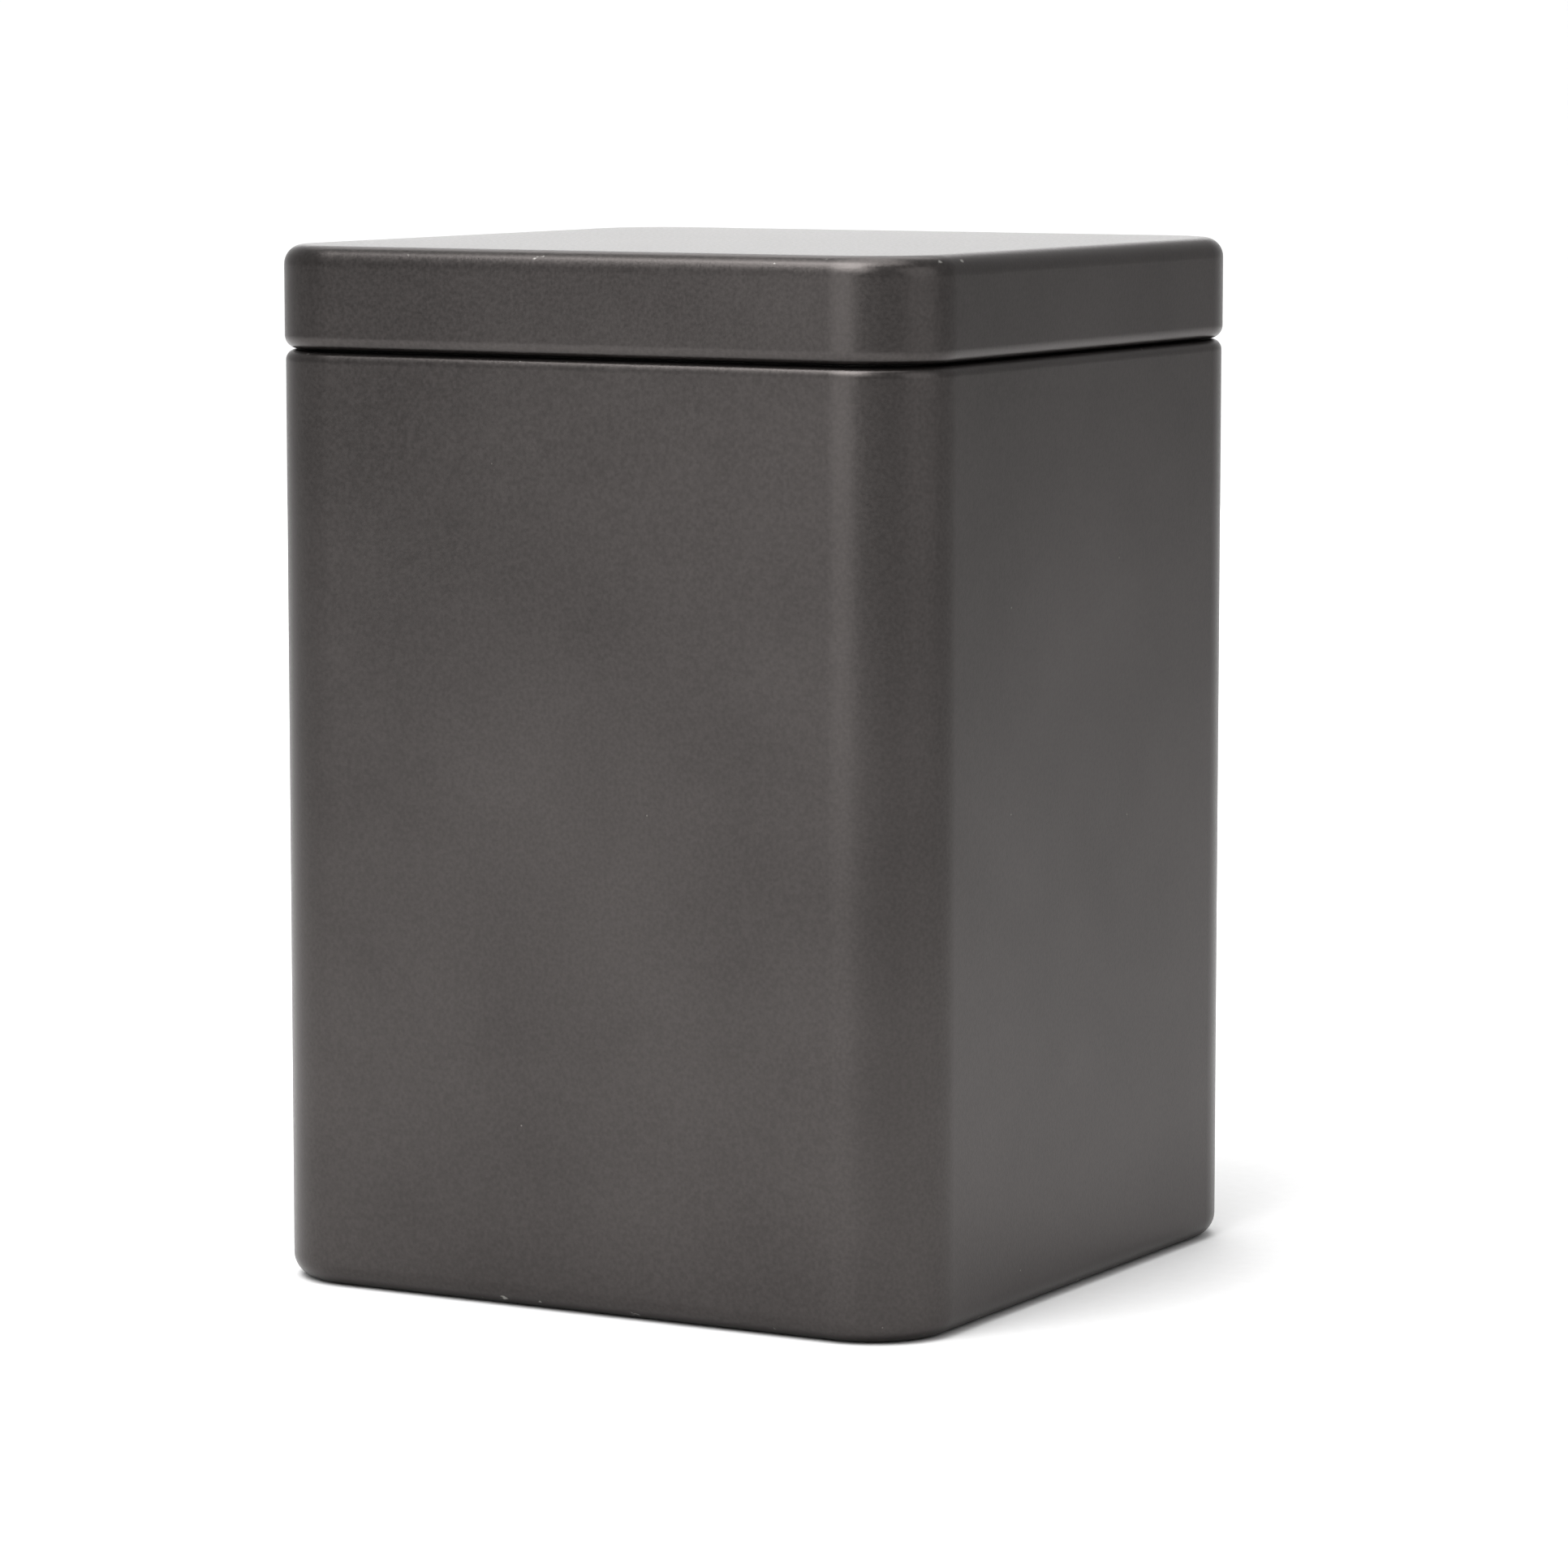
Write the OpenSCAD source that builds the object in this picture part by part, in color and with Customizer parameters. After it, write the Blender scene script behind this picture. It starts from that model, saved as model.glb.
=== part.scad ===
// Square tin with rounded corners and a slip lid, for poured candles.
// The origin is the middle of the foot, +Z is up and -Y is the front.
// Every piece of tinplate is one sheet of even thickness, bent round the same four corner axes,
// so a piece is a flat section that is swept once round the tin.
// In a section, x runs outwards from the corner axes and y is the height above the foot.

/* [Body] */
// Width of the body across its flat sides
body_w = 75; // [62:0.5:95]
// Height over all, with the lid on
total_h = 105; // [60:0.5:150]
// Outer radius of the upright corners
corner_r = 9; // [8.5:0.5:16]
// Thickness of the tinplate
sheet = 0.3; // [0.26:0.01:0.32]
// Outer radius of the rolled bottom edge
foot_r = 2.4; // [2.2:0.1:2.8]
// Width of the flat ring that the tin stands on
foot_flat = 1.2; // [0.8:0.1:1.6]
// Outer radius of the shoulder under the lid
shoulder_r = 1.1; // [0.9:0.1:1.3]

/* [Lid] */
// Height of the lid, from its curled edge to its top
lid_h = 10.5; // [8:0.5:24]
// Outer radius of the lid's top edge
lid_edge_r = 2; // [1:0.1:2.6]
// Outer radius of the curl on the lid's lower edge
lid_curl_r = 1.35; // [1.2:0.05:1.35]
// How far the lid's sides stand proud of the body's
lid_proud = 0.1; // [0:0.05:0.1]
// Gap between the shoulder and the lid that rests on it
lid_rest_gap = 0.08; // [0.05:0.01:0.2]
// Gap between the neck and the lid's curl
lid_slip_gap = 0.3; // [0.2:0.05:0.35]

/* [Neck] */
// Gap between the neck's rim and the inside of the lid
rim_gap = 1.1; // [0.5:0.1:2]
// Depth of the hem at the neck's rim
hem_depth = 3; // [2:0.1:3.5]
// Depth of the body's down-turned lip that the neck hooks round
lip_depth = 3.2; // [2.4:0.1:4]

/* [Base] */
// Height of the base panel's upper face above the foot
base_z = 3.8; // [3.6:0.1:6]
// Radius of the round stiffening bead in the base panel
bead_ring_r = 24; // [10:0.5:26]
// Height of that bead above the panel
bead_h = 0.6; // [0.4:0.1:0.8]

/* [Side seam] */
// Place of the seam on the back wall, from the tin's middle
seam_x = -18; // [-18:0.5:14]
// Half of the width over which the two hooked edges lie in each other
seam_half = 2.2; // [1.8:0.1:3]

/* [Hidden] */
$fn = 72;

half_w = body_w / 2;
axis_at = half_w - corner_r;          // the four corner axes stand at +-axis_at
wall_in = corner_r - sheet;           // inner face of the body's wall
shoulder_z = total_h - lid_h;
hook_gap = 0.1;                       // play in the folded joint between the body and the neck
bend_r = 0.5;                         // outer radius of a tight bend
apart = 1;                            // how far a cutting shape reaches past the face it cuts

// Neck
neck_out = corner_r + lid_proud - 2 * lid_curl_r - lid_slip_gap;
rim_z = total_h - sheet - rim_gap;
rim_r = sheet + hook_gap / 2;         // outer radius of the fold at the rim
lip_in = neck_out + hook_gap;
hook_z = shoulder_z - lip_depth - sheet;
hook_short = 1;                       // the hook's free edge ends this far under the shoulder

// Base roll: the body's edge runs round the foot and up, and the base panel's edge lies in it
foot_x = corner_r - foot_r;           // the flat ring runs from foot_x inwards to foot_in_x
foot_in_x = foot_x - foot_flat;
foot_in_r = 1.5;
foot_edge_z = base_z - sheet - 0.8;   // free edge of the rolled foot, inside the base's recess
base_edge_z = foot_edge_z - 0.4;      // free edge of the base panel, below the foot's
seal_gap = 0.15;                      // room for the sealing compound between the two sheets
seal_play = 0.02;                     // play on each side of the compound
base_edge_r = 1;                      // outer radius of the base panel's upper bend
seal_bead_w = 0.45;                   // width of the compound that fills the crevice over the roll
seal_top_z = base_z - 0.35;

// Bead: its flanks meet at the angle of a 3-4-5 triangle, which ties its width to its height
bead_half_w = 3 * bead_h;
bead_centres = 5 * bead_h;            // from the centre of the crest's arc to that of a foot
bead_lean = asin(3 / 5);
bead_foot_r = 0.7;                    // inner radius of the bead's feet

// Seam plies lie one behind the other, from the outer face inwards
ply_gap = 0.06;
ply = sheet + ply_gap;
seam_r = ply + sheet / 2;             // outer radius of a hooked edge
seam_low_z = 6.5;
seam_top_z = hook_z - 2;
jog_gap = 0.08;
jog_x = -seam_half - seam_r - jog_gap - bend_r; // where one edge steps inwards, behind the other
hook_tip = 0.4;                       // each hook's free edge ends this far from the other's bend
lap_line_w = 0.3;                     // line that the plain lap leaves above and below the hooks
lap_line_depth = 0.14;
fillet_w = 1;                         // the compound's reach along the wall, from the hooked edge
fillet_start = 0.15;
fillet_h = 0.5;
fillet_hollow_r = 0.55;

tin_colour = [0.33, 0.32, 0.31];
bare_colour = [0.72, 0.72, 0.7];
seal_colour = [0.25, 0.3, 0.26];

// ---- Flat sections ----

// A pie slice from angle a to angle b, used to cut an arc out of a ring
module pie(r, a, b) {
    steps = ceil((b - a) / 30);
    function rim(angle) = 2 * r * [cos(angle), sin(angle)];
    polygon([[0, 0], for (i = [0:steps]) rim(a + (b - a) * i / steps)]);
}

// A bend in the sheet: outer radius r about the point at, from angle a to angle b
module bend(at, r, a, b, thick = sheet) {
    translate(at) intersection() {
        difference() {
            circle(r);
            circle(r - thick);
        }
        pie(r, a, b);
    }
}

// A straight run of sheet between two opposite corners
module run(low, high) {
    translate(low) square(high - low);
}

// ---- Solids that go round the tin ----

// Sweeps a section round the four corner axes
module round_tin() {
    for (turn = [0:3]) rotate(90 * turn) {
        translate([axis_at, axis_at, 0]) rotate_extrude(angle = 90) children();
        translate([axis_at, 0, 0]) rotate([90, 0, 0])
            linear_extrude(2 * axis_at, center = true) children();
    }
}

// A flat plate with corners of radius r about the corner axes
module plate(r, low_z, thick) {
    translate([0, 0, low_z]) linear_extrude(thick) {
        square([2 * (axis_at + r), 2 * axis_at], center = true);
        square([2 * axis_at, 2 * (axis_at + r)], center = true);
        for (x = [-axis_at, axis_at], y = [-axis_at, axis_at]) translate([x, y]) circle(r);
    }
}

// ---- Body wall ----

module wall_section() {
    // rolled bottom edge
    run([foot_in_x - foot_in_r, foot_in_r], [foot_in_x - foot_in_r + sheet, foot_edge_z]);
    bend([foot_in_x, foot_in_r], foot_in_r, 180, 270);
    run([foot_in_x, 0], [foot_x, sheet]);
    bend([foot_x, foot_r], foot_r, 270, 360);
    // wall and shoulder
    run([wall_in, foot_r], [corner_r, shoulder_z - shoulder_r]);
    bend([corner_r - shoulder_r, shoulder_z - shoulder_r], shoulder_r, 0, 90);
    run([lip_in + bend_r, shoulder_z - sheet], [corner_r - shoulder_r, shoulder_z]);
    // lip that turns down behind the shoulder
    bend([lip_in + bend_r, shoulder_z - bend_r], bend_r, 90, 180);
    run([lip_in, shoulder_z - lip_depth], [lip_in + sheet, shoulder_z - bend_r]);
}

// The two edges of the wall's sheet, hooked into each other.
// Here x runs along the wall and y is the depth below its outer face.
module seam_section() {
    inner_ply = 3 * ply;
    // edge that steps inwards, passes behind and hooks back
    bend([jog_x, bend_r], bend_r, 270, 360);
    run([jog_x + bend_r - sheet, bend_r], [jog_x + bend_r, inner_ply + sheet - bend_r]);
    bend([jog_x + 2 * bend_r - sheet, inner_ply + sheet - bend_r], bend_r, 90, 180);
    run([jog_x + 2 * bend_r - sheet, inner_ply], [seam_half, inner_ply + sheet]);
    bend([seam_half, 2 * ply + sheet / 2], seam_r, -90, 90);
    run([-seam_half + hook_tip, ply], [seam_half, ply + sheet]);
    // edge that stays outside and hooks back behind the first
    bend([-seam_half, ply + sheet / 2], seam_r, 90, 270);
    run([-seam_half, 2 * ply], [seam_half - hook_tip, 2 * ply + sheet]);
}

// Stands a section on the back wall, at the seam, from low_z to high_z
module on_back_wall(low_z, high_z) {
    translate([seam_x, half_w, low_z]) mirror([0, 1, 0]) linear_extrude(high_z - low_z) children();
}

module body_wall() {
    color(tin_colour) {
        difference() {
            round_tin() wall_section();
            // opening for the hooked edges
            on_back_wall(seam_low_z, seam_top_z)
                translate([jog_x, -apart]) square([bend_r + jog_gap + seam_r, 2 * apart]);
            // line of the plain lap above and below them
            for (z = [[foot_r, seam_low_z], [seam_top_z, shoulder_z - shoulder_r]])
                on_back_wall(z[0], z[1]) translate([-seam_half - seam_r, -apart])
                    square([lap_line_w, apart + lap_line_depth]);
        }
        on_back_wall(seam_low_z, seam_top_z) seam_section();
    }
}

// Compound along the inner edge of the side seam
module side_seam_seal() {
    color(seal_colour)
        on_back_wall(seam_low_z, seam_top_z) difference() {
            translate([seam_half + fillet_start, sheet + seal_play])
                square([fillet_w - fillet_start, fillet_h]);
            translate([seam_half, 2 * ply + sheet / 2]) circle(seam_r + seal_play);
            translate([seam_half + fillet_w, 2 * ply + sheet]) circle(fillet_hollow_r);
        }
}

// ---- Neck ----

module collar_section() {
    hook_mid = neck_out + hook_gap + sheet / 2;
    fold_r = hook_mid - neck_out + sheet;
    // hem at the rim
    hem_x = neck_out - 2 * rim_r;
    run([hem_x, rim_z - rim_r - hem_depth], [hem_x + sheet, rim_z - rim_r]);
    bend([neck_out - rim_r, rim_z - rim_r], rim_r, 0, 180);
    // neck, and the hook at its foot that holds the body's lip
    run([neck_out - sheet, hook_z], [neck_out, rim_z - rim_r]);
    bend([hook_mid, hook_z], fold_r, 180, 360);
    run([hook_mid + fold_r - sheet, hook_z], [hook_mid + fold_r, shoulder_z - sheet - hook_short]);
}

module neck_collar() {
    color(bare_colour) round_tin() collar_section();
}

// ---- Base ----

module base_section() {
    // edge that lies in the rolled bottom of the wall
    outer_r = foot_r - sheet - seal_gap;
    inner_r = foot_in_r - sheet - seal_gap;
    run([foot_in_x - inner_r, foot_in_r], [foot_in_x - inner_r + sheet, base_edge_z]);
    bend([foot_in_x, foot_in_r], inner_r, 180, 270);
    run([foot_in_x, foot_in_r - inner_r], [foot_x, foot_in_r - inner_r + sheet]);
    bend([foot_x, foot_r], outer_r, 270, 360);
    // short side and the bend into the panel
    run([foot_x + outer_r - sheet, foot_r], [foot_x + outer_r, base_z - base_edge_r]);
    bend([foot_x + outer_r - base_edge_r, base_z - base_edge_r], base_edge_r, 0, 90);
}

// Round stiffening bead: a crest between two feet, each an arc of the same sheet.
// Here y = 0 is the panel's upper face.
module bead_section() {
    crest_r = bead_centres - bead_foot_r;
    bend([0, bead_h - crest_r], crest_r, 90 - bead_lean, 90 + bead_lean);
    bend([bead_half_w, bead_foot_r], bead_foot_r + sheet, 270 - bead_lean, 270);
    bend([-bead_half_w, bead_foot_r], bead_foot_r + sheet, 270, 270 + bead_lean);
}

module base_panel() {
    color(bare_colour) {
        round_tin() base_section();
        difference() {
            plate(foot_x + foot_r - sheet - seal_gap - base_edge_r, base_z - sheet, sheet);
            translate([0, 0, base_z - sheet - apart]) difference() {
                cylinder(h = sheet + 2 * apart, r = bead_ring_r + bead_half_w);
                cylinder(h = sheet + 2 * apart, r = bead_ring_r - bead_half_w);
            }
        }
        rotate_extrude() translate([bead_ring_r, base_z]) bead_section();
    }
}

// Compound between the wall's rolled edge and the base panel's edge
module seal_section() {
    thick = seal_gap - 2 * seal_play;
    outer_r = foot_r - sheet - seal_play;
    inner_r = foot_in_r - sheet - seal_play;
    bend([foot_in_x, foot_in_r], inner_r, 180, 270, thick);
    run([foot_in_x, foot_in_r - inner_r], [foot_x, foot_in_r - inner_r + thick]);
    bend([foot_x, foot_r], outer_r, 270, 360, thick);
    run([foot_x + outer_r - thick, foot_r], [foot_x + outer_r, base_z - base_edge_r]);
    // bead that fills the crevice above
    difference() {
        run([foot_x + outer_r - seal_bead_w, base_z - base_edge_r], [foot_x + outer_r, seal_top_z]);
        translate([foot_x + foot_r - sheet - seal_gap - base_edge_r, base_z - base_edge_r])
            circle(base_edge_r + seal_play);
    }
}

module base_seal() {
    color(seal_colour) round_tin() seal_section();
}

// ---- Lid ----

module lid_section() {
    side = corner_r + lid_proud;
    curl_z = shoulder_z + lid_rest_gap + lid_curl_r;
    bend([side - lid_edge_r, total_h - lid_edge_r], lid_edge_r, 0, 90);
    run([side - sheet, curl_z], [side, total_h - lid_edge_r]);
    bend([side - lid_curl_r, curl_z], lid_curl_r, 60, 360);
}

module lid_shell() {
    color(tin_colour) {
        round_tin() lid_section();
        plate(corner_r + lid_proud - lid_edge_r, total_h - sheet, sheet);
    }
}

body_wall();
neck_collar();
base_panel();
base_seal();
side_seam_seal();
lid_shell();
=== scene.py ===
import math

import bmesh
import bpy
from mathutils import Matrix, Vector, noise


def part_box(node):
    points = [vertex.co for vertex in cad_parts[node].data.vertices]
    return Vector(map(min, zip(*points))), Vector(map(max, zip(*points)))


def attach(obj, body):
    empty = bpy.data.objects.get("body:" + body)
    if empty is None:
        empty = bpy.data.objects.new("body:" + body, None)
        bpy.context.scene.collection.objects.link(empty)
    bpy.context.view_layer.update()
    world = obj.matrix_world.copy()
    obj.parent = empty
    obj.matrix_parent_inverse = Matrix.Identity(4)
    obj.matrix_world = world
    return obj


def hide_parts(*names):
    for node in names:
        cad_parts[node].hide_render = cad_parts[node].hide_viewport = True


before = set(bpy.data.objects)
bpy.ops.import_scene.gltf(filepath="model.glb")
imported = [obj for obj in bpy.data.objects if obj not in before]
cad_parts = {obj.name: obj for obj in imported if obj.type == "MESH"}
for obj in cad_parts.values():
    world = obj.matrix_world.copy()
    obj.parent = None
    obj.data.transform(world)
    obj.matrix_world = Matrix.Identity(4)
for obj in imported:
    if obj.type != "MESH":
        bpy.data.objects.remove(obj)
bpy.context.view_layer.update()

# A square candle tin with a slip lid. Every piece of tinplate is one thin sheet bent round the same
# four corner axes, so a piece is a section that is drawn along its sheet with runs and bends, and
# then swept once round the tin. In a section, u runs outwards from the corner axes and z is up.
# Lengths are in millimetres here, and new_mesh takes them to metres.

MM = 0.001

# ---- Sizes from the frame ----

BODY_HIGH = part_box("body_wall")[1] / MM
LID_LOW, LID_HIGH = (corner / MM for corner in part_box("lid_shell"))
NECK_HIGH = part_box("neck_collar")[1] / MM
BASE_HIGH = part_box("base_panel")[1] / MM
SEAL_LOW, SEAL_HIGH = (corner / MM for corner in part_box("side_seam_seal"))

# ---- Sizes shared with the CAD model ----

SHEET = 0.3                                 # thickness of the tinplate
CORNER_R = 9.0                              # outer radius of the body's upright corners
AXIS = BODY_HIGH.x - CORNER_R               # the four corner axes stand at +-AXIS
FOOT_R = 2.4                                # outer radius of the rolled bottom edge
FOOT_IN_R = 1.5                             # outer radius where that edge turns up inside
FOOT_FLAT = 1.2                             # width of the flat ring that the tin stands on
SHOULDER_R = 1.1                            # outer radius of the shoulder under the lid
BEND_R = 0.5                                # outer radius of a tight bend
HOOK_GAP = 0.1                              # play in the folded joint of body and neck
LIP_DEPTH = 3.2                             # depth of the body's lip behind the shoulder
HEM_DEPTH = 3.0                             # depth of the hem at the neck's rim
LID_EDGE_R = 2.0                            # outer radius of the lid's top edge
LID_CURL_R = 1.35                           # outer radius of the curl on the lid's lower edge
LID_CURL_TURN = 300                         # degrees that the curl turns through
LID_SLIP_GAP = 0.3                          # gap between the neck and the lid's curl
BEAD_RING_R = 24.0                          # radius of the base panel's round bead
BEAD_H = 0.6                                # height of that bead
BEAD_FOOT_R = 0.7                           # inner radius of the bead's feet
BASE_EDGE_R = 1.0                           # outer radius of the base panel's upper bend
SEAL_GAP = 0.15                             # room for the compound in the rolled foot
SEAM_X = -18.0                              # place of the side seam on the back wall
SEAM_HALF = 2.2                             # half the width over which its edges are hooked
PLY_GAP = 0.06                              # gap between the plies of the seam
PLY = SHEET + PLY_GAP                       # pitch of the seam's four plies
SEAM_LOW_Z, SEAM_TOP_Z = 6.5, 89.0          # the hooked stretch of the seam

# ---- Sizes worked out from those ----

SHOULDER_Z = BODY_HIGH.z
BASE_Z = BASE_HIGH.z - BEAD_H               # upper face of the base panel
FOOT_U = CORNER_R - FOOT_R                  # the flat ring runs from FOOT_U inwards
FOOT_IN_U = FOOT_U - FOOT_FLAT
LID_U = LID_HIGH.x - AXIS                   # outer face of the lid's side
NECK_U = LID_U - 2 * LID_CURL_R - LID_SLIP_GAP
LIP_U = NECK_U + HOOK_GAP                   # inner face of the body's lip
HALF = SHEET / 2

# ---- Fineness of the meshes ----

CORNER_STEPS = 28                           # stations round an upright corner
BEND_STEPS = 10                             # stations round a quarter turn of a section
SIDE_PITCH = 3.0                            # spacing of stations along a flat side
GUARD = 0.12                                # stations this near to a bend keep the flats flat
HAIR = 0.01                                 # step beside a sharp change of section
MERGE = 1e-6                                # metres

CORNER_WEAR = 0.5                           # wear on the upright corners, of 1 on a tight bend
COATED, BARE = range(2)                     # material slots of a sheet of tinplate


# ---- Drawing a bent sheet ----

class Strip:
    """A strip of sheet, drawn along its middle line. It keeps a row of stations, each with the
    points of the sheet's left and right faces and how sharply it is bent there, from 0 to 1."""

    def __init__(self, u, z, heading):
        self.at = Vector((u, z))
        self.angle = math.radians(heading)
        self.left, self.right, self.sharp = [], [], []
        self.mark(0)

    def aside(self):
        return Vector((-math.sin(self.angle), math.cos(self.angle)))

    def mark(self, sharp):
        self.left.append(self.at + self.aside() * HALF)
        self.right.append(self.at - self.aside() * HALF)
        self.sharp.append(sharp)

    def run(self, length, pitch=None):
        """A straight run, with stations along it every pitch."""
        along = Vector((math.cos(self.angle), math.sin(self.angle)))
        stops = {length}
        if length > 3 * GUARD:
            stops |= {GUARD, length - GUARD}
        if pitch:
            count = round(length / pitch)
            stops |= {length * i / count for i in range(1, count)}
        start = self.at.copy()
        for stop in sorted(stops):
            self.at = start + along * stop
            self.mark(0)
        return self

    def bend(self, outer_r, turn):
        """A bend of that outer radius, to the left for a positive turn in degrees."""
        radius = math.copysign(outer_r - HALF, turn)
        steps = max(3, round(BEND_STEPS * abs(turn) / 90))
        centre = self.at + self.aside() * radius
        for i in range(1, steps + 1):
            self.angle += math.radians(turn) / steps
            self.at = centre - self.aside() * radius
            self.mark(math.sin(math.pi * i / steps))
        return self


# ---- Stations round the tin ----

def turned(x, y, quarters):
    """A point turned about the tin's axis by a number of quarter turns, without rounding."""
    for _ in range(quarters):
        x, y = -y, x
    return x, y


class Station:
    """A place on the way round the tin. side counts the sides from the back one, and x is the
    place along it. On an upright corner x is None, and edge is 1 in the corner's middle."""

    def __init__(self, side, x, angle=None):
        self.side = side
        self.x = x
        self.edge = 0 if angle is None else math.sin(2 * angle)
        self.base = turned(AXIS if x is None else x, AXIS, side)
        out = (0, 1) if angle is None else (math.cos(angle), math.sin(angle))
        self.out = turned(*out, side)

    def point(self, u, z):
        return self.base[0] + self.out[0] * u, self.base[1] + self.out[1] * u, z


def side_places(extra=()):
    """Places along a flat side, from one corner to the next."""
    count = round(2 * AXIS / SIDE_PITCH)
    even = [AXIS - 2 * AXIS * i / count for i in range(1, count)]
    clear = [x for x in even if all(abs(x - e) > GUARD for e in extra)]
    return sorted({AXIS - GUARD, GUARD - AXIS, *clear, *extra}, reverse=True)


def stations(back_extra=()):
    """All the stations, anticlockwise from the corner at +X +Y, and then along the back."""
    found = []
    for side in range(4):
        for i in range(CORNER_STEPS + 1):
            found.append(Station(side, None, math.pi / 2 * i / CORNER_STEPS))
        for x in side_places(back_extra if side == 0 else ()):
            found.append(Station(side, x))
    return found


# ---- Meshes ----

class Skin:
    """Rows of points that close round the tin, joined by quads."""

    def __init__(self, around):
        self.around = around
        self.rows, self.wear, self.slots = [], [], []
        self.grids = []

    def row(self, points, sharp, slot):
        """Adds a row. slot is the material between it and the next row, or None for no sheet."""
        self.rows.append(points)
        self.wear.append([max(sharp, CORNER_WEAR * s.edge) for s in self.around])
        self.slots.append(slot)

    def swept(self, points, sharps, slot, moved=None):
        """Adds a row for each (u, z) point. moved(station, z) says how far in it goes."""
        for (u, z), sharp in zip(points, sharps):
            inset = [moved(s, z) if moved else 0 for s in self.around]
            self.row([s.point(u - i, z) for s, i in zip(self.around, inset)], sharp, slot)

    def turned_round(self, points, sharps, slot):
        """Adds a row for each (r, z) point, on a circle instead of round the tin's outline."""
        for (r, z), sharp in zip(points, sharps):
            self.row([(*self.direction(s) * r, z) for s in self.around], sharp, slot)

    def direction(self, station):
        return Vector(station.point(FOOT_U, 0)[:2]).normalized()

    def eased(self, u, r, z, steps, slot, outwards=False):
        """Adds flat rows between the tin's outline at u and the circle of radius r."""
        for i in range(1, steps):
            t = 1 - i / steps if outwards else i / steps
            places = [Vector(s.point(u, 0)[:2]).lerp(self.direction(s) * r, t) for s in self.around]
            self.row([(*p, z) for p in places], 0, slot)

    def plate(self, z, slot):
        """Adds the square of sheet between the corner axes, as a grid."""
        places = [AXIS, *side_places(), -AXIS]
        self.grids.append((places, z, slot))

    def mesh(self, name):
        count = len(self.around)
        points = [p for row in self.rows for p in row]
        wear = [w for row in self.wear for w in row]
        faces, slots = [], []
        for n, slot in enumerate(self.slots):
            here, there = n * count, (n + 1) % len(self.rows) * count
            if slot is None:
                continue
            for i in range(count):
                j = (i + 1) % count
                faces.append((here + i, here + j, there + j, there + i))
                slots.append(slot)
        for places, z, slot in self.grids:
            first, size = len(points), len(places)
            points += [(x, y, z) for x in places for y in places]
            wear += [0] * size * size
            for i in range(size - 1):
                for j in range(size - 1):
                    a = first + i * size + j
                    faces.append((a, a + 1, a + 1 + size, a + size))
                    slots.append(slot)
        return new_mesh(name, points, faces, slots, wear)


def new_mesh(name, points, faces, slots, wear):
    """A closed, smooth-shaded object from points in millimetres."""
    mesh = bpy.data.meshes.new(name)
    mesh.from_pydata([Vector(p) * MM for p in points], [], faces)
    mesh.polygons.foreach_set("material_index", slots)
    mesh.polygons.foreach_set("use_smooth", [True] * len(faces))
    mesh.attributes.new("wear", "FLOAT", "POINT").data.foreach_set("value", wear)
    bm = bmesh.new()
    bm.from_mesh(mesh)
    bmesh.ops.remove_doubles(bm, verts=bm.verts, dist=MERGE)
    bmesh.ops.recalc_face_normals(bm, faces=bm.faces)
    bm.to_mesh(mesh)
    bm.free()
    piece = bpy.data.objects.new(name, mesh)
    bpy.context.scene.collection.objects.link(piece)
    return piece


def closed_strip(name, strip, around, left_slot, right_slot, moved_left=None, moved_right=None):
    """A strip swept round the tin, with a cut edge at both ends."""
    skin = Skin(around)
    skin.swept(strip.left, strip.sharp, left_slot, moved_left)
    skin.slots[-1] = BARE
    skin.swept(strip.right[::-1], strip.sharp[::-1], right_slot, moved_right)
    skin.slots[-1] = BARE
    return skin.mesh(name)


# ---- Body wall ----

SEAM_R = PLY + HALF                         # outer radius of a hooked edge
SEAM_ARC_STEPS = 7                          # stations across each round of the seam
JOG_GAP = 0.08                              # between the hooked edge and the jog beside it
JOG_X = -SEAM_HALF - SEAM_R - JOG_GAP - BEND_R    # where the wall turns in beside the seam
SEAM_DEPTH = 3 * PLY + SHEET                # from the outer face to the innermost ply's back
SLOT_DEPTH = 0.9                            # how deep the line between the two edges goes
LAP_LINE = 0.14                             # depth of the line above and below the hooks
SEAM_RAMP = 0.7                             # height over which the hooked stretch ends
WALL_EDGE_GAP = 0.8                         # from the wall's inner edge up to the base panel

WALL_BOW = 0.09                             # how far the flat sides are drawn in at mid-height
BACK_BOW = 0.03                             # and the back, which the seam stiffens
WALL_RIPPLE = 0.035                         # unevenness of the sheet
RIPPLE_PITCH = 26.0
LONG_PITCH, PLAIN_PITCH, FINE_PITCH = 3.0, 0.8, 0.2    # spacing of rows up the wall


def quarter_round(x, radius):
    """Height of a quarter circle that rises from 0 at x = 0 to its radius at x = radius."""
    x = min(max(x, 0), radius)
    return math.sqrt(radius * radius - (radius - x) ** 2)


def seam_outside(x):
    """Depth of the line that the seam leaves in the outer face."""
    jog_end = JOG_X + BEND_R
    hook_start = -SEAM_HALF - SEAM_R
    if x <= jog_end:
        return BEND_R - quarter_round(jog_end - x, BEND_R)
    if x < hook_start:
        return SLOT_DEPTH
    return SEAM_R - quarter_round(x - hook_start, SEAM_R)


def seam_inside(x):
    """Depth that the folded plies add to the inner face."""
    inner_r = BEND_R - SHEET
    step = JOG_X + inner_r
    flat = SEAM_DEPTH - BEND_R
    if x <= JOG_X or x > SEAM_HALF + SEAM_R:
        return 0
    if x <= step:
        return inner_r - quarter_round(step - x, inner_r)
    if x <= SEAM_HALF:
        return flat - SHEET + quarter_round(x - step, BEND_R)
    return SEAM_DEPTH - SHEET - SEAM_R + quarter_round(SEAM_HALF + SEAM_R - x, SEAM_R)


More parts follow.
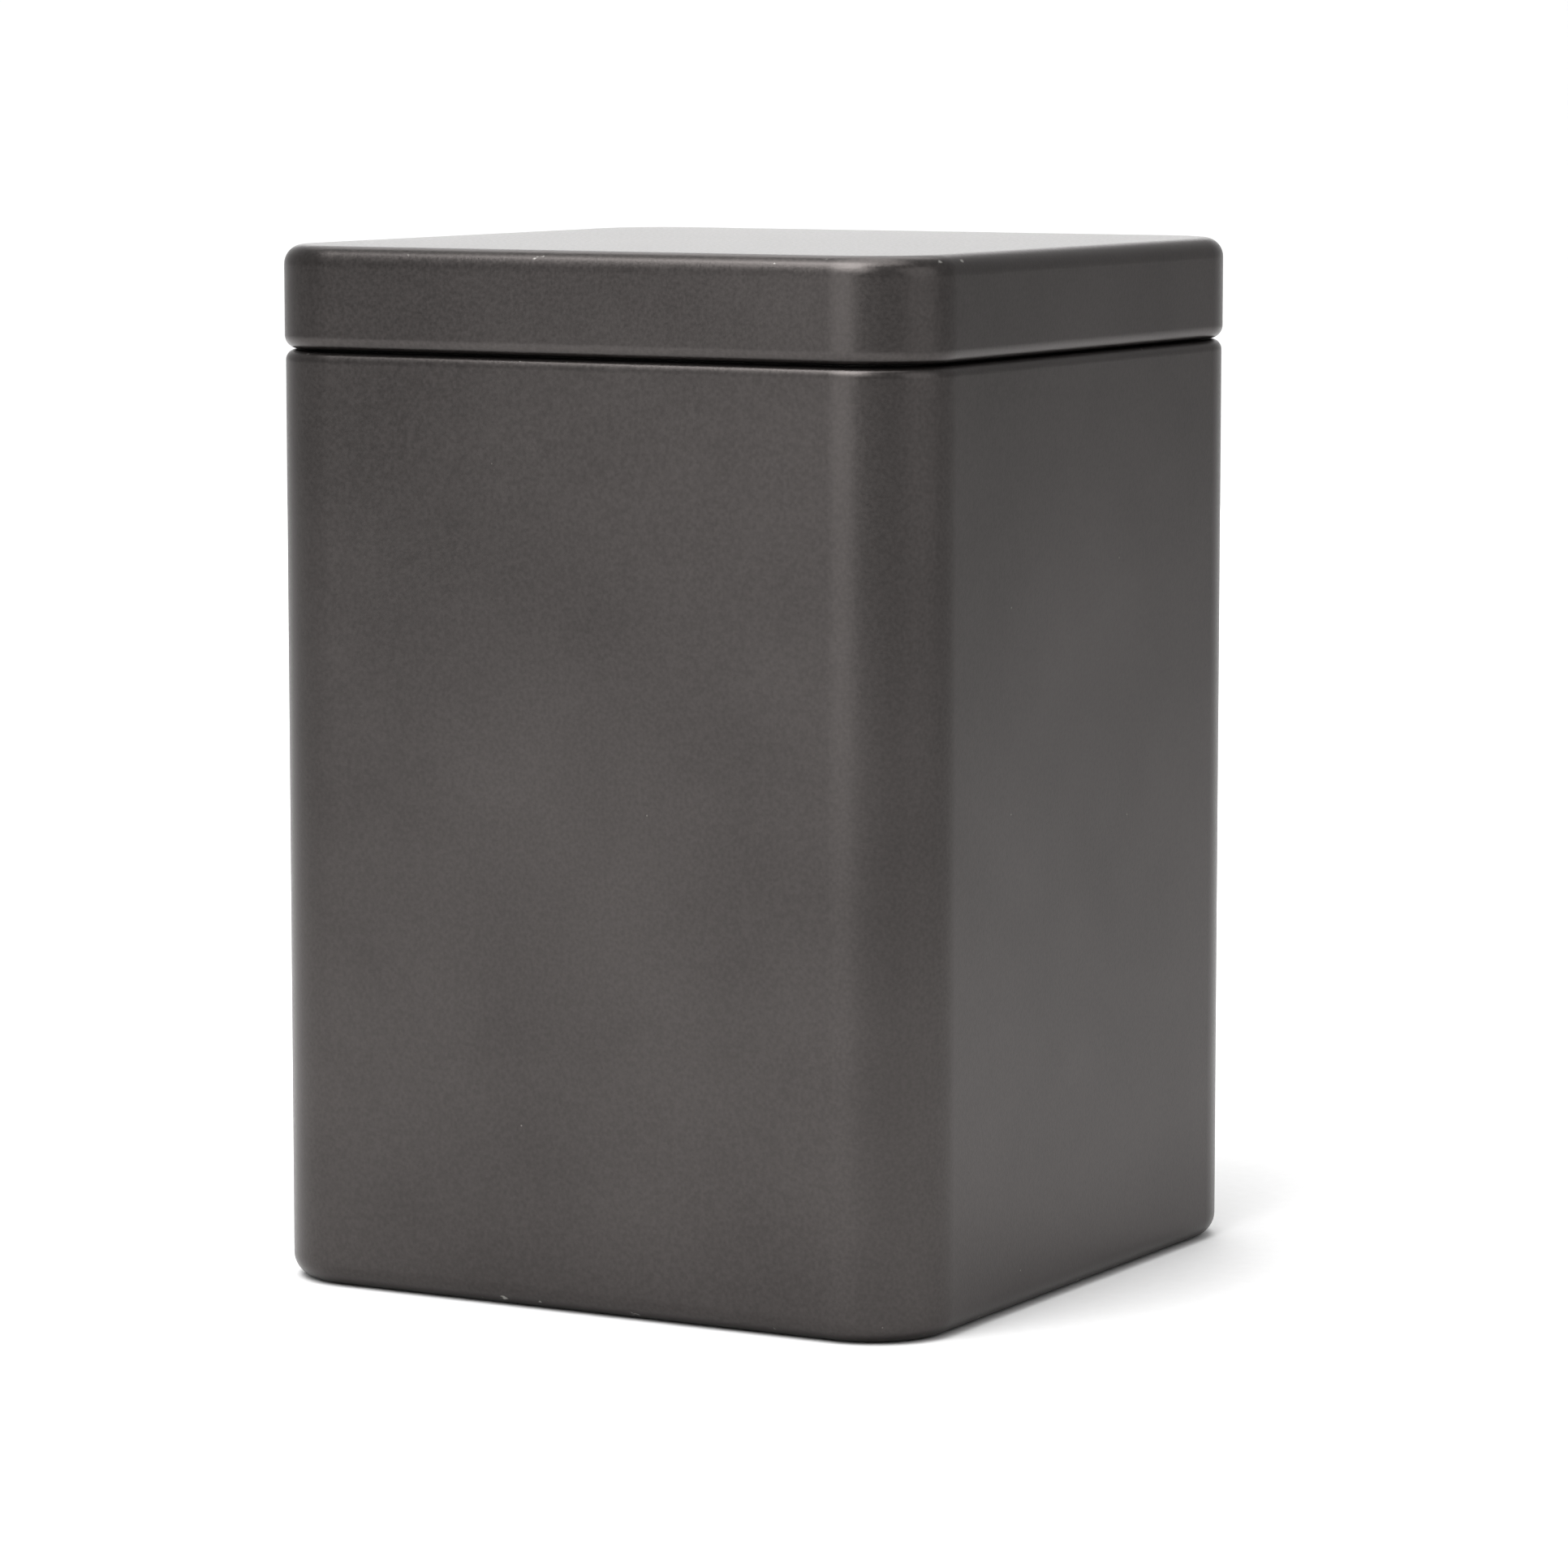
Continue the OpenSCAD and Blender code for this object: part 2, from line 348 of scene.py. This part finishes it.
def seam_places():
    """Places along the back wall where the seam's shape needs a station."""
    inner_step = JOG_X + BEND_R - SHEET
    hook_start, hook_end = -SEAM_HALF - SEAM_R, SEAM_HALF + SEAM_R
    arcs = [(JOG_X, BEND_R), (hook_start, SEAM_R), (SEAM_HALF, SEAM_R), (inner_step, BEND_R)]
    places = {JOG_X - GUARD, JOG_X + BEND_R + HAIR, inner_step - HAIR}
    places |= {hook_start - HAIR, hook_end + HAIR, hook_end + GUARD}
    for start, radius in arcs:
        for i in range(SEAM_ARC_STEPS + 1):
            angle = math.pi / 2 * i / SEAM_ARC_STEPS
            places |= {start + radius * (1 - math.cos(angle)), start + radius * math.sin(angle)}
    spaced = []
    for x in sorted(places):
        if not spaced or x - spaced[-1] > HAIR / 2:
            spaced.append(x)
    return [SEAM_X + x for x in spaced]


def ramp(value, low, high, width):
    """1 between low and high, falling to 0 outside them over that width."""
    inside = min((value - low) / width, (high - value) / width)
    return min(max(inside + 0.5, 0), 1)


def bow(station, z):
    """How far the side is drawn in at a height, with the sheet's own unevenness."""
    if station.x is None:
        return 0
    across = math.cos(math.pi / 2 * station.x / AXIS) ** 2
    up = math.sin(math.pi * min(max((z - FOOT_R) / (SHOULDER_Z - SHOULDER_R - FOOT_R), 0), 1)) ** 2
    draw = BACK_BOW if station.side == 0 else WALL_BOW
    wave = noise.noise(Vector((station.x, z, 50 * station.side)) / RIPPLE_PITCH)
    return across * up * (draw + WALL_RIPPLE * (1 + wave))


def on_seam(station, z):
    """Place across the seam and how far the hooked stretch counts there, or None."""
    if station.side or station.x is None or not FOOT_R < z < SHOULDER_Z - SHOULDER_R:
        return None
    x = station.x - SEAM_X
    if not JOG_X - GUARD < x < SEAM_HALF + SEAM_R + GUARD:
        return None
    return x, ramp(z, SEAM_LOW_Z, SEAM_TOP_Z, SEAM_RAMP)


def wall_outer_move(station, z):
    found = on_seam(station, z)
    if not found:
        return bow(station, z)
    x, share = found
    depth = seam_outside(x) if x <= -SEAM_HALF else 0
    return bow(station, z) + depth * share + min(depth, LAP_LINE) * (1 - share)


def wall_inner_move(station, z):
    found = on_seam(station, z)
    return bow(station, z) + (seam_inside(found[0]) * found[1] if found else 0)


def body_wall():
    free_edge_z = BASE_Z - SHEET - WALL_EDGE_GAP
    strip = Strip(FOOT_IN_U - FOOT_IN_R + HALF, free_edge_z, -90)
    strip.run(free_edge_z - FOOT_IN_R).bend(FOOT_IN_R, 90).run(FOOT_FLAT).bend(FOOT_R, 90)
    to_seam = SEAM_LOW_Z - FOOT_R - SEAM_RAMP
    along_seam = SEAM_TOP_Z - SEAM_LOW_Z
    above = SHOULDER_Z - SHOULDER_R - SEAM_TOP_Z - SEAM_RAMP
    strip.run(to_seam, PLAIN_PITCH).run(SEAM_RAMP, FINE_PITCH).run(along_seam, LONG_PITCH)
    strip.run(SEAM_RAMP, FINE_PITCH).run(above, PLAIN_PITCH)
    strip.bend(SHOULDER_R, 90).run(CORNER_R - SHOULDER_R - LIP_U - BEND_R).bend(BEND_R, 90)
    strip.run(LIP_DEPTH - BEND_R)
    return closed_strip(
        "tin_wall", strip, stations(seam_places()), BARE, COATED, wall_inner_move, wall_outer_move
    )


# ---- Neck ----

NECK_FOOT_GAP = 1.0                         # from the neck's inner edge up to the shoulder
HEM_PITCH, NECK_PITCH = 0.6, 1.2            # spacing of rows


def neck_collar():
    rim_r = SHEET + HOOK_GAP / 2
    rim_z = NECK_HIGH.z - rim_r
    hook_z = SHOULDER_Z - LIP_DEPTH - SHEET
    hook_r = SHEET + HOOK_GAP + HALF
    strip = Strip(NECK_U - 2 * rim_r + HALF, rim_z - HEM_DEPTH, 90)
    strip.run(HEM_DEPTH, HEM_PITCH).bend(rim_r, -180).run(rim_z - hook_z, NECK_PITCH)
    strip.bend(hook_r, 180).run(SHOULDER_Z - SHEET - NECK_FOOT_GAP - hook_z)
    return closed_strip("neck_rim", strip, stations(), BARE, BARE)


# ---- Base ----

BASE_EDGE_GAP = 1.2                         # from the panel's free edge up to its flat part
EASED_ROWS = 4                              # rows between the square outline and the round bead
BASE_PITCH = 2.5                            # spacing of rows inside the bead


def base_panel():
    """Edge that lies in the wall's rolled foot, flat panel, and the round bead in it."""
    outer_r = FOOT_R - SHEET - SEAL_GAP
    inner_r = FOOT_IN_R - SHEET - SEAL_GAP
    free_edge_z = BASE_Z - SHEET - BASE_EDGE_GAP
    edge = Strip(FOOT_IN_U - inner_r + HALF, free_edge_z, -90)
    edge.run(free_edge_z - FOOT_IN_R).bend(inner_r, 90).run(FOOT_FLAT).bend(outer_r, 90)
    edge.run(BASE_Z - BASE_EDGE_R - FOOT_R).bend(BASE_EDGE_R, 90)

    # Where the bead's bends meet, the sheet leans at the angle of a 3-4-5 triangle. So the bead is
    # 3 heights wide to each side of its ring, and the radii of its crown and foot add up to 5.
    lean = math.degrees(math.asin(3 / 5))
    bead_r = BEAD_RING_R + 3 * BEAD_H
    bead = Strip(bead_r, BASE_Z - HALF, 180)
    bead.bend(BEAD_FOOT_R + SHEET, -lean).bend(5 * BEAD_H - BEAD_FOOT_R, 2 * lean)
    bead.bend(BEAD_FOOT_R + SHEET, -lean).run(BEAD_RING_R - 3 * BEAD_H, BASE_PITCH)

    skin = Skin(stations())
    edge_u = edge.left[-1].x
    skin.swept(edge.left, edge.sharp, BARE)
    skin.eased(edge_u, bead_r, BASE_Z - SHEET, EASED_ROWS, BARE)
    skin.turned_round(bead.left, bead.sharp, BARE)
    skin.slots[-1] = None
    skin.turned_round(bead.right[::-1], bead.sharp[::-1], BARE)
    skin.eased(edge_u, bead_r, BASE_Z, EASED_ROWS, BARE, outwards=True)
    skin.swept(edge.right[::-1], edge.sharp[::-1], BARE)
    return skin.mesh("base_plate")


# ---- Lid ----

LID_TOP_PITCH, LID_SIDE_PITCH = 1.5, 1.2    # spacing of rows


def lid_shell():
    """Flat top, rounded top edge, side, and the curl that turns in and up at its lower edge."""
    curl_z = LID_LOW.z + LID_CURL_R
    strip = Strip(0, LID_HIGH.z - HALF, 0)
    strip.run(LID_U - LID_EDGE_R, LID_TOP_PITCH).bend(LID_EDGE_R, -90)
    strip.run(LID_HIGH.z - LID_EDGE_R - curl_z, LID_SIDE_PITCH).bend(LID_CURL_R, -LID_CURL_TURN)

    skin = Skin(stations())
    skin.swept(strip.left, strip.sharp, COATED)
    skin.slots[-1] = BARE
    skin.swept(strip.right[::-1], strip.sharp[::-1], BARE)
    skin.slots[-1] = None
    skin.plate(LID_HIGH.z, COATED)
    skin.plate(LID_HIGH.z - SHEET, BARE)
    return skin.mesh("lid_cover")


# ---- Compound along the inside of the side seam ----

HOOK_CLEARANCE = 0.02                       # from the hooked edge to the compound on it
WALL_CLEARANCE = 0.03                       # from the wall to the compound on it
HOOK_ANGLES = (-78, -60, -42, -24, -10)     # degrees round the hooked edge that it covers
TOE_SETBACK, TOE_WANDER = 0.12, 0.1         # the toe's place inside the CAD box, and its wander
WAIST_OUT, WAIST_UP, WAIST_WANDER = 0.06, 0.12, 0.05    # the point that its hollow face bends to
LUMP_PITCH = 2.3
COMPOUND_PITCH = 0.8                        # spacing of its sections


def seam_compound():
    """A hand-run fillet between the hooked edge and the wall, with an uneven toe."""
    hook = Vector((SEAM_X + SEAM_HALF, 2 * PLY + HALF))
    reach = SEAM_R + HOOK_CLEARANCE
    toe_y = SHEET + WALL_CLEARANCE
    z_steps = round((SEAL_HIGH.z - SEAL_LOW.z) / COMPOUND_PITCH)
    points, faces = [], []
    for n in range(z_steps + 1):
        z = SEAL_LOW.z + (SEAL_HIGH.z - SEAL_LOW.z) * n / z_steps
        lump = noise.noise(Vector((3.1, 8.2, z / LUMP_PITCH)))
        section = []
        for angle in map(math.radians, HOOK_ANGLES):
            section.append(hook + reach * Vector((math.cos(angle), math.sin(angle))))
        top, toe = section[-1], Vector((SEAL_HIGH.x - TOE_SETBACK + TOE_WANDER * lump, toe_y))
        waist = Vector((top.x + WAIST_OUT, toe_y + WAIST_UP + WAIST_WANDER * lump))
        for t in (0.2, 0.4, 0.6, 0.8):
            section.append(top.lerp(waist, t).lerp(waist.lerp(toe, t), t))
        section.append(toe)
        place = Station(0, hook.x)
        points += [(x, BODY_HIGH.y - y - bow(place, z), z) for x, y in section]
    size = len(points) // (z_steps + 1)
    for n in range(z_steps):
        for i in range(size):
            a, b = n * size + i, n * size + (i + 1) % size
            faces.append((a, b, b + size, a + size))
    faces += [tuple(range(size)), tuple(range(z_steps * size, (z_steps + 1) * size))]
    return new_mesh("seam_compound", points, faces, [0] * len(faces), [0] * len(points))


# ---- Materials ----

class Finish:
    """A procedural material. add() makes a node, with constants or other nodes' sockets as its
    inputs, and gives its first output back."""

    def __init__(self, name):
        self.material = bpy.data.materials.new(name)
        self.material.use_nodes = True
        self.tree = self.material.node_tree
        self.surface = self.tree.nodes["Principled BSDF"]
        self.place = self.tree.nodes.new("ShaderNodeTexCoord").outputs["Object"]

    def add(self, kind, inputs, **settings):
        node = self.tree.nodes.new("ShaderNode" + kind)
        for name, value in settings.items():
            setattr(node, name, value)
        self.fill(node, inputs)
        return node.outputs[0]

    def fill(self, node, inputs):
        for key, value in inputs.items():
            if isinstance(value, bpy.types.NodeSocket):
                self.tree.links.new(value, node.inputs[key])
            else:
                node.inputs[key].default_value = value

    def stretched(self, x, y, z):
        return self.add("Mapping", {"Vector": self.place, "Scale": (x, y, z)})

    def cloud(self, scale, detail, place=None):
        """Noise from 0 to 1 with features of about 1 / scale metres."""
        where = self.place if place is None else place
        return self.add("TexNoise", {"Vector": where, "Scale": scale, "Detail": detail})

    def ranged(self, value, low, high, to_low, to_high):
        return self.add("MapRange", {"Value": value, "From Min": low, "From Max": high,
                                     "To Min": to_low, "To Max": to_high})

    def spread(self, cloud, to_low, to_high):
        """A cloud's usual range of values, taken to another one."""
        return self.ranged(cloud, 0.3, 0.7, to_low, to_high)

    def mixed(self, share, first, second):
        return self.add("MixRGB", {"Fac": share, "Color1": first, "Color2": second})

    def maths(self, operation, first, second):
        return self.add("Math", {0: first, 1: second}, operation=operation)

    def relief(self, height, depth, strength, under=None):
        inputs = {"Height": height, "Distance": depth, "Strength": strength}
        if under is not None:
            inputs["Normal"] = under
        return self.add("Bump", inputs)

    def attribute(self, name):
        node = self.tree.nodes.new("ShaderNodeAttribute")
        node.attribute_name = name
        return node.outputs["Fac"]


def gunmetal_coat():
    """Matte warm grey metallic coat: fine grain, faint patches, rare pinpricks, rubbed edges."""
    finish = Finish("gunmetal_coat")
    patches = finish.cloud(38, 3)
    grain = finish.cloud(2600, 2)
    flake = finish.add("TexVoronoi", {"Vector": finish.place, "Scale": 4200.0})
    tone = finish.maths("ADD", finish.spread(patches, 0, 0.5), finish.spread(grain, 0, 0.5))
    colour = finish.mixed(tone, (0.082, 0.0763, 0.0744, 1), (0.116, 0.1077, 0.1051, 1))

    pricks = finish.add("TexVoronoi", {"Vector": finish.place, "Scale": 150.0})
    prick = finish.ranged(pricks, 0.010, 0.018, 0.5, 0)
    colour = finish.mixed(prick, colour, (0.35, 0.33, 0.31, 1))

    rub = finish.maths("MULTIPLY", finish.attribute("wear"), finish.cloud(620, 4))
    bare = finish.ranged(rub, 0.66, 0.72, 0, 0.8)
    colour = finish.mixed(bare, colour, (0.46, 0.45, 0.43, 1))

    uneven = finish.relief(patches, 0.00006, 0.5)
    finish.fill(finish.surface, {
        "Base Color": colour,
        "Metallic": 0.9,
        "Roughness": finish.spread(grain, 0.28, 0.35),
        "Normal": finish.relief(finish.maths("ADD", grain, flake), 0.000012, 0.35, uneven),
    })
    return finish.material


def lacquered_tinplate(name, grain_scale):
    """Bare tinplate under clear lacquer, with the faint lines of the rolling mill."""
    finish = Finish(name)
    lines = finish.cloud(1.0, 3, finish.stretched(*grain_scale))
    patches = finish.cloud(55, 3)
    tone = finish.ranged(finish.maths("ADD", lines, patches), 0.7, 1.3, 0, 1)
    finish.fill(finish.surface, {
        "Base Color": finish.mixed(tone, (0.45, 0.44, 0.415, 1), (0.56, 0.55, 0.525, 1)),
        "Metallic": 1.0,
        "Roughness": finish.spread(patches, 0.29, 0.35),
        "Coat Weight": 0.35,
        "Coat Roughness": 0.12,
        "Normal": finish.relief(lines, 0.00001, 0.3),
    })
    return finish.material


def sealing_compound():
    """Dried grey-green compound, dull and slightly lumpy."""
    finish = Finish("sealing_compound")
    lumps = finish.cloud(900, 3)
    finish.fill(finish.surface, {
        "Base Color": finish.mixed(lumps, (0.055, 0.075, 0.058, 1), (0.10, 0.125, 0.10, 1)),
        "Roughness": finish.spread(lumps, 0.55, 0.75),
        "Normal": finish.relief(lumps, 0.00008, 0.6),
    })
    return finish.material


# ---- The object ----

coat = gunmetal_coat()
wall_plate = lacquered_tinplate("wall_tinplate", (2600, 2600, 60))
floor_plate = lacquered_tinplate("base_tinplate", (2600, 60, 2600))
compound = sealing_compound()

PIECES = [
    (body_wall(), "body_wall", "tin", "tin_coat", [coat, wall_plate]),
    (neck_collar(), "neck_collar", "tin", "bare_tinplate", [coat, wall_plate]),
    (base_panel(), "base_panel", "tin", "bare_tinplate", [coat, floor_plate]),
    (seam_compound(), "side_seam_seal", "tin", "sealing_compound", [compound]),
    (lid_shell(), "lid_shell", "lid", "tin_coat", [coat, wall_plate]),
]
for piece, node, body, slot, materials in PIECES:
    for material in materials:
        piece.data.materials.append(material)
    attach(piece, body)
    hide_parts(node)

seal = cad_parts["base_seal"]
seal.data.materials.clear()
seal.data.materials.append(compound)


# ---- Studio ----

CAMERA_AZIMUTH = 29.34                      # degrees round from the front, towards +X
CAMERA_DROP = 6.75                          # degrees that it looks down
CAMERA_DISTANCE = 0.6548
CAMERA_AIM = Vector((-0.0008, 0.0061, 0.0484))
CAMERA_LENS = 144.4


def from_camera(azimuth, distance, height):
    """A point round the object, at an azimuth counted from the camera's, clockwise from above."""
    angle = math.radians(CAMERA_AZIMUTH - azimuth)
    return Vector((math.sin(angle) * distance, -math.cos(angle) * distance, height))


def looking(place, target):
    """The matrix of a camera or lamp at a place that faces a target, with no roll."""
    turn = (target - place).to_track_quat("-Z", "Y")
    return Matrix.LocRotScale(place, turn, None)


def studio_camera():
    data = bpy.data.cameras.new("camera")
    data.lens = CAMERA_LENS
    data.sensor_width = 36
    camera = bpy.data.objects.new("camera", data)
    drop = math.radians(CAMERA_DROP)
    place = from_camera(0, math.cos(drop) * CAMERA_DISTANCE, math.sin(drop) * CAMERA_DISTANCE)
    camera.matrix_world = looking(place + CAMERA_AIM, CAMERA_AIM)
    bpy.context.scene.collection.objects.link(camera)
    bpy.context.scene.camera = camera


def softbox(name, place, width, tall, radiance, aim=(0, 0, 0.05)):
    """A rectangular lamp at a place given as for from_camera. It lights the scene and shows in
    reflections, but no camera sees it."""
    data = bpy.data.lights.new(name, "AREA")
    data.shape = "RECTANGLE"
    data.size, data.size_y = width, tall
    data.energy = radiance * math.pi * width * tall
    lamp = bpy.data.objects.new(name, data)
    lamp.matrix_world = looking(from_camera(*place), from_camera(*aim))
    lamp.visible_camera = False
    bpy.context.scene.collection.objects.link(lamp)


def studio_sweep():
    """A pale floor that curves up into a backdrop behind the object."""
    half_width, front, curve_at, curve_r, top = 4.0, 4.0, 1.5, 0.8, 2.6
    steps = 24
    line = [(-front, 0), (curve_at, 0)]
    for i in range(1, steps + 1):
        angle = math.pi / 2 * i / steps
        line.append((curve_at + curve_r * math.sin(angle), curve_r * (1 - math.cos(angle))))
    line.append((curve_at + curve_r, top))
    points = []
    for along, z in line:
        back = from_camera(180, along, z)
        aside = from_camera(90, half_width, 0)
        points += [back + aside, back - aside]
    faces = [(2 * i, 2 * i + 1, 2 * i + 3, 2 * i + 2) for i in range(len(line) - 1)]
    mesh = bpy.data.meshes.new("studio_sweep")
    mesh.from_pydata(points, [], faces)
    mesh.polygons.foreach_set("use_smooth", [True] * len(faces))
    sweep = bpy.data.objects.new("studio_sweep", mesh)
    bpy.context.scene.collection.objects.link(sweep)
    finish = Finish("pale_paper")
    fibre = finish.cloud(700, 3)
    finish.fill(finish.surface, {
        "Base Color": finish.mixed(fibre, (0.86, 0.86, 0.86, 1), (0.90, 0.90, 0.90, 1)),
        "Roughness": 0.9,
        "Specular IOR Level": 0.1,
    })
    mesh.materials.append(finish.material)


def room_light(strength):
    world = bpy.data.worlds.new("room")
    world.use_nodes = True
    background = world.node_tree.nodes["Background"]
    background.inputs["Color"].default_value = (1, 1, 1, 1)
    background.inputs["Strength"].default_value = strength
    bpy.context.scene.world = world


studio_camera()
studio_sweep()
room_light(0.45)
softbox("key_softbox", (33, 0.90, 0.80), 0.90, 0.60, 1.85)
softbox("left_overhead", (50, 0.34, 0.60), 0.40, 0.40, 2.6, aim=(50, 0.34, 0))
softbox("overhead", (59, 0.15, 1.3), 1.2, 1.2, 1.5)
softbox("left_fill", (38, 0.75, 0.18), 0.45, 0.34, 0.95)
softbox("right_bank", (-60, 0.90, 0.45), 0.75, 0.80, 0.6)
softbox("rear_softbox", (180, 1.0, 0.26), 0.50, 0.50, 0.5)
softbox("background_light", (180, 1.45, 1.5), 1.6, 1.2, 1.15, aim=(180, 1.45, 0))
bpy.context.scene.view_settings.view_transform = "Standard"
bpy.context.scene.view_settings.look = "High Contrast"
